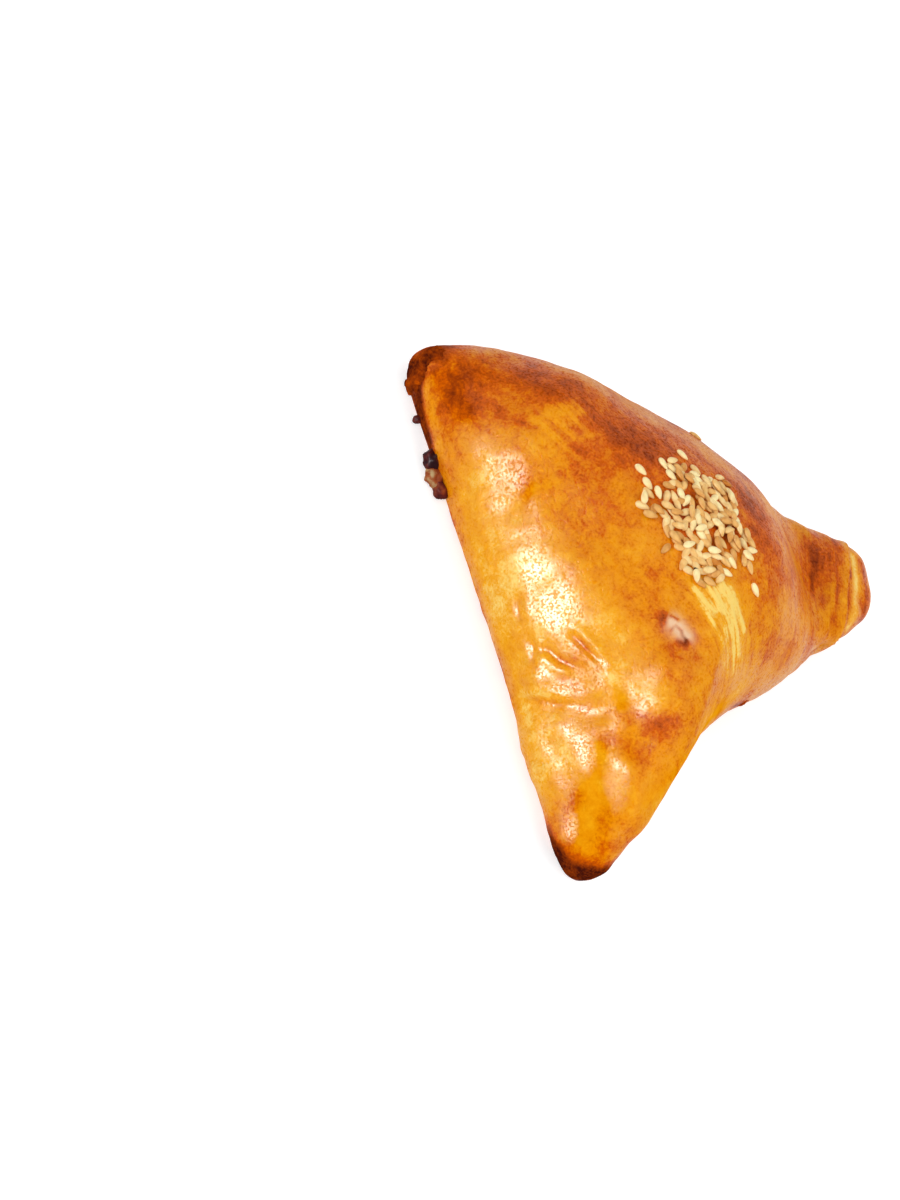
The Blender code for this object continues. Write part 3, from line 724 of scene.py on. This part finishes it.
def even_sphere(name, cuts):
    """A mesh of a unit sphere in even faces, from a cut cube, and its points."""
    bm = bmesh.new()
    bmesh.ops.create_cube(bm, size=2.0)
    bmesh.ops.subdivide_edges(bm, edges=bm.edges[:], cuts=cuts, use_grid_fill=True)
    mesh = to_mesh(bm, name)
    co = np.tan(read_points(mesh, "co") * math.pi / 4)
    return mesh, co / np.linalg.norm(co, axis=1, keepdims=True)


def add_piece(mesh, material):
    """Put a finished mesh into the scene as one piece of the samsa."""
    piece = bpy.data.objects.new(mesh.name, mesh)
    bpy.context.scene.collection.objects.link(piece)
    mesh.materials.append(material)
    mesh.shade_smooth()
    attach(piece, "root")
    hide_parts("samsa")


# --- Materials ---


def add_node(tree, kind, feeds=(), **settings):
    """Add a shader node with its settings and what feeds its sockets."""
    node = tree.nodes.new(kind)
    for name, value in settings.items():
        setattr(node, name, value)
    for socket, value in dict(feeds).items():
        if isinstance(value, bpy.types.NodeSocket):
            tree.links.new(value, node.inputs[socket])
        else:
            node.inputs[socket].default_value = value
    return node


def new_material(name):
    """A new material, its node tree and its shader."""
    material = bpy.data.materials.new(name)
    material.use_nodes = True
    tree = material.node_tree
    return material, tree, tree.nodes["Principled BSDF"]


def set_ramp(node, stops):
    """Give a colour ramp its places and colours."""
    ramp = node.color_ramp
    ramp.elements.remove(ramp.elements[1])
    for k, (place, colour) in enumerate(stops):
        element = ramp.elements[0] if k == 0 else ramp.elements.new(place)
        element.position = place
        element.color = colour
    return node.outputs["Color"]


def baked_dough(look):
    """Baked wheat dough under brushed egg yolk."""
    # Wheat dough brushed with egg yolk and baked: a hard, thin, uneven glaze that shines in
    # grainy patches over a crust that browns where it is high, thin or near the tray.
    material, tree, shader = new_material(DOUGH_NAME)
    place = add_node(tree, "ShaderNodeTexCoord").outputs["Object"]
    browning_and_shading, pale_and_sheen, dull, streaky, across, along = (
        add_node(tree, "ShaderNodeAttribute", attribute_name=name).outputs["Fac"]
        for name in ("browning_and_shading", "pale_and_sheen", "dull", "streaky", "across", "along"))
    patches, blotches, grain = (
        add_node(tree, "ShaderNodeTexNoise", {"Vector": place, "Scale": 1 / (size * MM), "Detail": detail,
                                              "Roughness": rough, "Distortion": swirl}).outputs["Fac"]
        for size, detail, rough, swirl in DOUGH_PATTERNS)
    patchy, blotchy, grainy = (
        add_node(tree, "ShaderNodeMath", {0: pattern, 1: 0.5}, operation="SUBTRACT").outputs[0]
        for pattern in (patches, blotches, grain))
    # Streaks of stretched dough, drawn out along the line that the skin was pulled
    flow = add_node(tree, "ShaderNodeCombineXYZ", {"X": across, "Y": along}).outputs[0]
    lines = add_node(tree, "ShaderNodeTexNoise", {"Vector": flow, "Scale": 1 / STREAK_SIZE, "Detail": 2.5,
                                                  "Roughness": 0.6}).outputs["Fac"]
    lines = add_node(tree, "ShaderNodeMath", {0: lines, 1: 0.5}, operation="SUBTRACT").outputs[0]
    lines = add_node(tree, "ShaderNodeMath", {0: lines, 1: streaky}, operation="MULTIPLY").outputs[0]
    # Browning, from straw to burnt, which also carries the tints' painted highlight, sheen and shade
    level = browning_and_shading
    for swing, amount in ((patchy, look.mottling), (blotchy, BLOTCH_BROWNING),
                          (grainy, GRAIN_BROWNING), (lines, STREAK_BROWNING)):
        level = add_node(tree, "ShaderNodeMath", {0: swing, 1: amount, 2: level}, operation="MULTIPLY_ADD").outputs[0]
    ramp = add_node(tree, "ShaderNodeValToRGB", {"Fac": level})
    colour = set_ramp(ramp, (
        (0.0, look.straw), (0.20, look.golden), (0.42, look.amber),
        (0.60, look.russet), (0.78, look.chestnut), (1.0, look.burnt)))
    # Dough that the wash missed shows pale, in blotches; the same pale mix also paints the sheen along the far upper
    # edge and at the rolled tip's neck
    bare_and_sheen = add_node(tree, "ShaderNodeMath", {0: 0.55, 1: blotches}, operation="ADD").outputs[0]
    bare_and_sheen = add_node(tree, "ShaderNodeMath", {0: pale_and_sheen, 1: bare_and_sheen}, operation="MULTIPLY", use_clamp=True).outputs[0]
    mixed = add_node(tree, "ShaderNodeMix", {"Factor": bare_and_sheen, MIX_FROM: colour, MIX_TO: look.blush_and_sheen}, data_type="RGBA")
    tree.links.new(mixed.outputs[MIX_RESULT], shader.inputs["Base Color"])
    # Under the wash the crust is matt, and more so in its blotches
    matt = add_node(tree, "ShaderNodeMath", {0: blotchy, 1: 0.4, 2: 0.55}, operation="MULTIPLY_ADD").outputs[0]
    tree.links.new(matt, shader.inputs["Roughness"])
    # Wash: thinner in wide patches and where the skin is dull, and pitted by the grain
    wash = add_node(tree, "ShaderNodeMath", {0: patchy, 1: -1.6, 2: 0.9}, operation="MULTIPLY_ADD").outputs[0]
    wash = add_node(tree, "ShaderNodeMath", {0: wash, 1: dull}, operation="SUBTRACT", use_clamp=True).outputs[0]
    pits = add_node(tree, "ShaderNodeMapRange", {"Value": grain, "From Min": 0.50, "From Max": 0.64},
                    interpolation_type="SMOOTHSTEP").outputs[0]
    whole = add_node(tree, "ShaderNodeMath", {0: pits, 1: -0.8, 2: 1.0}, operation="MULTIPLY_ADD").outputs[0]
    wash = add_node(tree, "ShaderNodeMath", {0: wash, 1: whole}, operation="MULTIPLY").outputs[0]
    tree.links.new(wash, shader.inputs["Coat Weight"])
    # Skin under the wash, and the wash's own surface
    skin = add_node(tree, "ShaderNodeBump", {"Height": blotches, "Distance": 0.35 * MM, "Strength": 0.6}).outputs[0]
    skin = add_node(tree, "ShaderNodeBump", {"Height": lines, "Distance": 0.30 * MM, "Strength": 0.6,
                                             "Normal": skin}, invert=True).outputs[0]
    skin = add_node(tree, "ShaderNodeBump", {"Height": grain, "Distance": 0.10 * MM, "Strength": 0.7,
                                             "Normal": skin}).outputs[0]
    tree.links.new(skin, shader.inputs["Normal"])
    glaze = add_node(tree, "ShaderNodeBump", {"Height": blotches, "Distance": 0.06 * MM, "Strength": 0.6}).outputs[0]
    glaze = add_node(tree, "ShaderNodeBump", {"Height": pits, "Distance": 0.03 * MM, "Strength": 0.8,
                                              "Normal": glaze}, invert=True).outputs[0]
    tree.links.new(glaze, shader.inputs["Coat Normal"])
    shader.inputs["Coat Roughness"].default_value = look.gloss
    shader.inputs["Coat IOR"].default_value = 1.4
    shader.inputs["Specular IOR Level"].default_value = 0.0
    return material


def hulled_sesame(look):
    """Hulled sesame seed, toasted by the oven."""
    # Hulled seed: a smooth waxy skin, cream to tan to brown from seed to seed, with the pointed end
    # a little darker and the underside darker as painted shade that outlines each seed.
    material, tree, shader = new_material("toasted_hulled_sesame")
    place = add_node(tree, "ShaderNodeTexCoord").outputs["Object"]
    toast_and_shade = add_node(tree, "ShaderNodeAttribute", attribute_name="toast_and_shade").outputs["Fac"]
    stain = add_node(tree, "ShaderNodeTexNoise", {"Vector": place, "Scale": 1 / (1.3 * MM),
                                                  "Detail": 2.0}).outputs["Fac"]
    level = add_node(tree, "ShaderNodeMath", {0: stain, 1: 0.35, 2: toast_and_shade}, operation="MULTIPLY_ADD").outputs[0]
    ramp = add_node(tree, "ShaderNodeValToRGB", {"Fac": level})
    colour = set_ramp(ramp, ((0.15, look.cream), (0.45, look.tan), (0.75, look.toasted), (1.0, look.scorched)))
    tree.links.new(colour, shader.inputs["Base Color"])
    skin = add_node(tree, "ShaderNodeBump", {"Height": stain, "Distance": 0.08 * MM, "Strength": 0.5})
    tree.links.new(skin.outputs[0], shader.inputs["Normal"])
    shader.inputs["Roughness"].default_value = 0.4
    shader.inputs["Specular IOR Level"].default_value = 0.12
    return material


def baked_juice(look):
    """Leaked meat juice and crumbs of dough, baked hard."""
    # Juice and fat that ran out and caught on the tray: dark and sticky-glossy, with pale
    # greyish crumb showing where it foamed up.
    material, tree, shader = new_material("caramelised_juice_and_crumb")
    place = add_node(tree, "ShaderNodeTexCoord").outputs["Object"]
    crumb = add_node(tree, "ShaderNodeAttribute", attribute_name="crumb").outputs["Fac"]
    foam = add_node(tree, "ShaderNodeTexNoise", {"Vector": place, "Scale": 1 / (1.4 * MM),
                                                 "Detail": 3.0}).outputs["Fac"]
    level = add_node(tree, "ShaderNodeMath", {0: foam, 1: 0.9, 2: crumb}, operation="MULTIPLY_ADD").outputs[0]
    ramp = add_node(tree, "ShaderNodeValToRGB", {"Fac": level})
    colour = set_ramp(ramp, ((0.2, look.tar), (0.5, look.juice), (0.75, look.brown), (1.0, look.foam)))
    tree.links.new(colour, shader.inputs["Base Color"])
    rough = add_node(tree, "ShaderNodeMath", {0: level, 1: 0.4, 2: 0.35}, operation="MULTIPLY_ADD",
                     use_clamp=True).outputs[0]
    tree.links.new(rough, shader.inputs["Roughness"])
    shader.inputs["Specular IOR Level"].default_value = 0.1
    skin = add_node(tree, "ShaderNodeBump", {"Height": foam, "Distance": 0.25 * MM, "Strength": 0.8})
    tree.links.new(skin.outputs[0], shader.inputs["Normal"])
    return material


def lit_table(colour, glow):
    """White table lit a little from below."""
    # Opal acrylic of a light table: even, matt and pale, so shadows on it stay faint.
    material, _, shader = new_material("opal_acrylic_table")
    shader.inputs["Base Color"].default_value = colour
    shader.inputs["Roughness"].default_value = 0.9
    shader.inputs["Specular IOR Level"].default_value = 0.1
    shader.inputs["Emission Color"].default_value = srgb("#ffffff")
    shader.inputs["Emission Strength"].default_value = glow
    return material


# --- Sesame places ---


def scatter(draw, places, heap, gap, crowd):
    """Add a heap's seeds to the places, none too near another."""
    (mx, my), (a, b), turn, count = heap
    c = math.cos(math.radians(turn))
    s = math.sin(math.radians(turn))
    kept = 0
    for _ in range(SEED_TRIES):
        if kept == count:
            break
        r = math.sqrt(draw.random())
        phi = draw.uniform(0, 2 * math.pi)
        u = a * r * math.cos(phi)
        v = b * r * math.sin(phi)
        x = mx + u * c - v * s
        y = my + u * s + v * c
        lean = SEED_LEAN + draw.gauss(0, SEED_SPREAD)
        near = sum(math.hypot(x - p[0], y - p[1]) < gap for p in places)
        if near > crowd or (near and draw.random() < SEED_SHYNESS):
            continue
        places.append((x, y, lean, SEED_LIFT * near))
        kept += 1


def seed_places():
    """Middle, turn and lift of every sesame seed, from a fixed draw."""
    draw = random.Random(SEED_DRAW)
    places = [(x, y, turn, 0.0) for (x, y), turn in STRAYS]
    for heap in HEAPS:
        scatter(draw, places, heap, SEED_GAP, 1)
    for heap in FILL:
        scatter(draw, places, heap, FILL_GAP, 0)
    return places


# --- Settings ---


def length_property(name, description, length):
    """A length setting."""
    return bpy.props.FloatProperty(name=name, description=description, default=length,
                                   unit="LENGTH", subtype="DISTANCE")


def share_property(name, description, share, least=0.0):
    """A setting from its least value up to one."""
    return bpy.props.FloatProperty(name=name, description=description, default=share,
                                   min=least, max=1.0, subtype="FACTOR")


def strength_property(name, description, strength, unit="NONE"):
    """A setting of a light's strength."""
    return bpy.props.FloatProperty(name=name, description=description, default=strength, min=0.0, unit=unit)


def colour_property(name, description, code):
    """A colour setting with its default from a hex value."""
    return bpy.props.FloatVectorProperty(name=name, description=description, subtype="COLOR", size=4,
                                         min=0.0, max=1.0, default=srgb(code))


class SamsaCrustSettings(bpy.types.PropertyGroup):
    """Sizes and colours of the baked dough."""
    dome: length_property("Dome height", "Height of the dough over the filling", 33.6 * MM)
    lumps: length_property("Lump depth", "Depth of the soft unevenness of the dough", 0.4 * MM)
    cuts: bpy.props.IntProperty(name="Fineness", default=125, min=7, max=127,
                                description="Cuts along each side of the block that the crust is shaped from")
    mottling: share_property("Mottling", "How unevenly the crust browned", 0.30)
    gloss: share_property("Wash roughness", "Roughness of the dried egg wash", 0.28, least=0.1)
    straw: colour_property("Straw", "Palest egg-washed dough", "#f9d36c")
    golden: colour_property("Golden", "Golden crust", "#f0a412")
    amber: colour_property("Amber", "Well baked crust", "#e58b02")
    russet: colour_property("Russet", "Browned crust", "#cc5802")
    chestnut: colour_property("Chestnut", "Dark browned edges", "#963a08")
    burnt: colour_property("Burnt", "Burnt edges", "#45140a")
    # This colour also paints the sheen along the far upper edge and at the rolled tip's neck
    blush_and_sheen: colour_property("Blush", "Dough that the wash missed", "#ecc39c")


class SamsaSesameSettings(bpy.types.PropertyGroup):
    """Sizes and colours of the sesame seeds."""
    length: length_property("Seed length", "Length of a seed", 3.05 * MM)
    width: length_property("Seed width", "Width of a seed", 1.5 * MM)
    thickness: length_property("Seed thickness", "Thickness of a seed", 1.05 * MM)
    cream: colour_property("Cream", "Palest seeds", "#fdebb0")
    tan: colour_property("Tan", "Usual seeds", "#eab76c")
    toasted: colour_property("Toasted", "Toasted seeds", "#c87c30")
    scorched: colour_property("Scorched", "Darkest seeds", "#4a1c0a")


class SamsaScrapSettings(bpy.types.PropertyGroup):
    """Roughness of the browned scraps, and colours of the juice."""
    roughness: share_property("Scrap roughness", "Unevenness of each scrap", 0.42)
    tar: colour_property("Tar", "Blackest juice", "#2b0f14")
    juice: colour_property("Juice", "Dark red-brown juice", "#631d12")
    brown: colour_property("Brown", "Browned crumb", "#9a4a1e")
    foam: colour_property("Foam", "Pale crumb", "#b79c6c")


class SamsaStageSettings(bpy.types.PropertyGroup):
    """Floor, lights and camera."""
    floor: colour_property("Floor", "Colour of the floor", "#c4c4c4")
    glow: strength_property("Floor glow", "Light from the floor itself", 0.64)
    sky: strength_property("Fill light", "Strength of the even light from all round", 0.25)
    below: strength_property("Light from below", "Strength of the even light from the table", 0.8)
    window: strength_property("Main light", "Power of the soft main light", 5.1, unit="POWER")
    lens: bpy.props.FloatProperty(name="Lens", description="Focal length of the camera", default=CAMERA_LENS,
                                  unit="CAMERA")


# --- Operators ---


class SAMSA_OT_crust(bpy.types.Operator):
    """Build the folded and baked dough"""
    bl_idname = "samsa.crust"
    bl_label = "Baked crust"

    def execute(self, context):
        look = context.scene.samsa_crust
        mesh, ball = even_sphere("baked_crust", look.cuts)
        co = fold_form(ball, look.dome / MM)
        mesh.vertices.foreach_set("co", co.ravel())
        mesh.update()
        normals = read_points(mesh, "normal")
        for name, values in tints(co).items():
            paint(mesh, name, values)
        co = co + normals * relief(co, normals, look.lumps / MM)[:, None]
        co[:, 2] = np.maximum(0, co[:, 2])
        mesh.vertices.foreach_set("co", to_frame(co).ravel())
        mesh.update()
        add_piece(mesh, baked_dough(look))
        return {"FINISHED"}


class SAMSA_OT_sesame(bpy.types.Operator):
    """Scatter the sesame seeds on the dome"""
    bl_idname = "samsa.sesame"
    bl_label = "Sesame seeds"

    def execute(self, context):
        look = context.scene.samsa_sesame
        crust = context.scene.samsa_crust
        thick = look.thickness / MM
        loop = outline()
        draw = random.Random(SEED_DRAW)
        bm = bmesh.new()
        layer = bm.verts.layers.float.new("toast_and_shade")
        for x, y, turn, lift in seed_places():
            made = bmesh.ops.create_uvsphere(bm, u_segments=10, v_segments=8, radius=1.0)["verts"]
            height, up = self.skin_at(loop, x, y, crust.dome / MM)
            height += relief(np.array(((x, y, height),)), np.array((up,)), crust.lumps / MM)[0]
            along = Vector((math.cos(math.radians(turn)), math.sin(math.radians(turn)), 0))
            along = (along - along.dot(up) * up).normalized()
            across = up.cross(along)
            size = draw.uniform(*SEED_SIZES)
            middle = Vector((x, y, height)) + up * (thick / 2 - SEED_SINK + lift)
            toast_and_shade = min(TOAST_MOST, max(0.0, draw.gauss(*SEED_TOAST)))
            toast_and_shade += DARK_TOAST if draw.random() < DARK_SHARE else 0.0
            for vert in made:
                point = vert.co.copy()
                taper = 1 - SEED_TAPER[0] * point.z - SEED_TAPER[1] * point.z ** 2
                vert.co = middle + size * (along * point.z * look.length / MM / 2
                                           + across * point.x * taper * look.width / MM / 2
                                           + up * point.y * taper * thick / 2)
                # The underside of each seed is darker as painted shade
                vert[layer] = toast_and_shade + POINT_TOAST * max(0.0, point.z) + UNDER_SHADE * max(0.0, UNDER_HEIGHT - point.y)
        for vert in bm.verts:
            vert.co = (vert.co - Vector(MIDDLE)) * MM
        add_piece(to_mesh(bm, "sesame_seeds"), hulled_sesame(look))
        return {"FINISHED"}

    def skin_at(self, loop, x, y, dome):
        """Height of the smooth skin at a place, and the direction that faces away from it."""
        here, right, back = (
            over_top(np.float64(x + a), np.float64(y + b), reach_at(loop, math.atan2(y + b, x + a)), dome)
            for a, b in ((0, 0), (SLOPE_STEP, 0), (0, SLOPE_STEP)))
        return here, Vector(((here - right) / SLOPE_STEP, (here - back) / SLOPE_STEP, 1)).normalized()


def rough_lumps(name, shapes, roughness, mark, swing):
    """A mesh of rough lumps, each marked with its own number, which swings a little all over it."""
    bm = bmesh.new()
    layer = bm.verts.layers.float.new(mark)
    for number, (middle, half, value) in enumerate(shapes):
        offset = Vector((LUMP_STEP * number, 0, 0))
        for vert in bmesh.ops.create_uvsphere(bm, u_segments=28, v_segments=18, radius=1.0)["verts"]:
            point = vert.co.copy()
            swell = 1
            for share, often in LUMP_ROUGHNESS:
                swell += share * roughness * noise.noise(point * often + offset)
            place = Vector([p * swell * h + m for p, h, m in zip(point, half, middle)])
            place.z = max(0.0, place.z)
            vert[layer] = value + swing * noise.noise(place / SWING_SIZE)
            vert.co = (place - Vector(MIDDLE)) * MM
    return to_mesh(bm, name)


class SAMSA_OT_scraps(bpy.types.Operator):
    """Build the browned lumps of dough at the corners and the leaked juice at the foot"""
    bl_idname = "samsa.scraps"
    bl_label = "Browned scraps"

    def execute(self, context):
        look = context.scene.samsa_scraps
        dough = bpy.data.materials.get(DOUGH_NAME) or baked_dough(context.scene.samsa_crust)
        mesh = rough_lumps("browned_corners", LUMPS, look.roughness, "browning_and_shading", BROWN_SWING)
        paint(mesh, "dull", np.full(len(mesh.vertices), LUMP_DULL))
        add_piece(mesh, dough)
        mesh = rough_lumps("leaked_juice", SPILLS, look.roughness, "crumb", CRUMB_SWING)
        add_piece(mesh, baked_juice(look))
        return {"FINISHED"}


class SAMSA_OT_stage(bpy.types.Operator):
    """Set the floor, the lights and the camera"""
    bl_idname = "samsa.stage"
    bl_label = "Stage"

    def execute(self, context):
        look = context.scene.samsa_stage
        scene = context.scene
        bm = bmesh.new()
        bmesh.ops.create_grid(bm, x_segments=1, y_segments=1, size=FLOOR_HALF)
        bmesh.ops.translate(bm, verts=bm.verts[:], vec=(0, 0, -FLOOR_GAP))
        mesh = to_mesh(bm, "floor")
        mesh.materials.append(lit_table(look.floor, look.glow))
        floor = bpy.data.objects.new("floor", mesh)
        scene.collection.objects.link(floor)
        floor.visible_glossy = False
        floor.visible_diffuse = False
        world = bpy.data.worlds.new("pale_room")
        world.use_nodes = True
        shade = world.node_tree.nodes["Background"]
        shade.inputs["Color"].default_value = srgb("#ffffff")
        ray = add_node(world.node_tree, "ShaderNodeTexCoord").outputs["Generated"]
        rise = add_node(world.node_tree, "ShaderNodeSeparateXYZ", {"Vector": ray}).outputs["Z"]
        level = add_node(world.node_tree, "ShaderNodeMapRange", {
            "Value": rise, "From Min": -HORIZON, "From Max": HORIZON, "To Min": look.below, "To Max": look.sky})
        world.node_tree.links.new(level.outputs[0], shade.inputs["Strength"])
        scene.world = world
        for light in LIGHTS:
            self.add_light(scene, look.window, *light)
        scene.view_settings.view_transform = "Standard"
        self.add_camera(scene, look.lens)
        return {"FINISHED"}

    def add_light(self, scene, window, name, toward, distance, size, power, gleam, spread):
        """A soft rectangular light that faces the pasty."""
        data = bpy.data.lights.new(name, "AREA")
        data.shape = "RECTANGLE"
        data.size, data.size_y = size
        data.energy = power * window
        light = bpy.data.objects.new(name, data)
        light.visible_glossy = gleam
        light.visible_diffuse = spread
        scene.collection.objects.link(light)
        out = Vector(toward).normalized()
        light.location = out * distance
        light.rotation_euler = out.to_track_quat("Z", "Y").to_euler()

    def add_camera(self, scene, lens):
        """The camera at the photograph's angle."""
        data = bpy.data.cameras.new("camera")
        data.lens = lens
        data.sensor_width = SENSOR
        camera = bpy.data.objects.new("camera", data)
        scene.collection.objects.link(camera)
        turn, rise, roll = (math.radians(a) for a in (CAMERA_TURN, CAMERA_RISE, CAMERA_ROLL))
        back = Vector((math.sin(turn) * math.cos(rise), -math.cos(turn) * math.cos(rise), math.sin(rise)))
        level = Vector((math.cos(turn), math.sin(turn), 0))
        upward = back.cross(level)
        right = level * math.cos(roll) + upward * math.sin(roll)
        up = upward * math.cos(roll) - level * math.sin(roll)
        pixels = lens / SENSOR * max(PICTURE)
        aside = (CAMERA_AIM[0] - PICTURE[0] / 2) / pixels * CAMERA_DISTANCE
        above = (PICTURE[1] / 2 - CAMERA_AIM[1]) / pixels * CAMERA_DISTANCE
        place = back * CAMERA_DISTANCE - right * aside - up * above - Vector(MIDDLE)
        turned = Matrix((right, up, back)).transposed().to_4x4()
        camera.matrix_world = Matrix.Translation(place * MM) @ turned
        scene.camera = camera


class SAMSA_PT_panel(bpy.types.Panel):
    """Lists the pieces of the samsa and their settings"""
    bl_label = "Samsa"
    bl_idname = "SAMSA_PT_panel"
    bl_space_type = "VIEW_3D"
    bl_region_type = "UI"
    bl_category = "Samsa"

    def draw(self, context):
        for operator, group in STEPS:
            box = self.layout.box()
            box.operator(operator)
            settings = getattr(context.scene, group)
            for name in settings.__annotations__:
                box.prop(settings, name)


STEPS = (
    ("samsa.crust", "samsa_crust"),
    ("samsa.sesame", "samsa_sesame"),
    ("samsa.scraps", "samsa_scraps"),
    ("samsa.stage", "samsa_stage"),
)
GROUPS = {
    "samsa_crust": SamsaCrustSettings,
    "samsa_sesame": SamsaSesameSettings,
    "samsa_scraps": SamsaScrapSettings,
    "samsa_stage": SamsaStageSettings,
}
CLASSES = tuple(GROUPS.values()) + (SAMSA_OT_crust, SAMSA_OT_sesame, SAMSA_OT_scraps, SAMSA_OT_stage, SAMSA_PT_panel)


def register():
    """Make the settings, operators and panel known."""
    for cls in CLASSES:
        bpy.utils.register_class(cls)
    for name, group in GROUPS.items():
        setattr(bpy.types.Scene, name, bpy.props.PointerProperty(type=group))


def unregister():
    """Take them away again."""
    for name in GROUPS:
        delattr(bpy.types.Scene, name)
    for cls in reversed(CLASSES):
        bpy.utils.unregister_class(cls)


def main():
    """Build the samsa and its stage."""
    register()
    bpy.ops.samsa.crust()
    bpy.ops.samsa.sesame()
    bpy.ops.samsa.scraps()
    bpy.ops.samsa.stage()


if __name__ == "__main__":
    main()
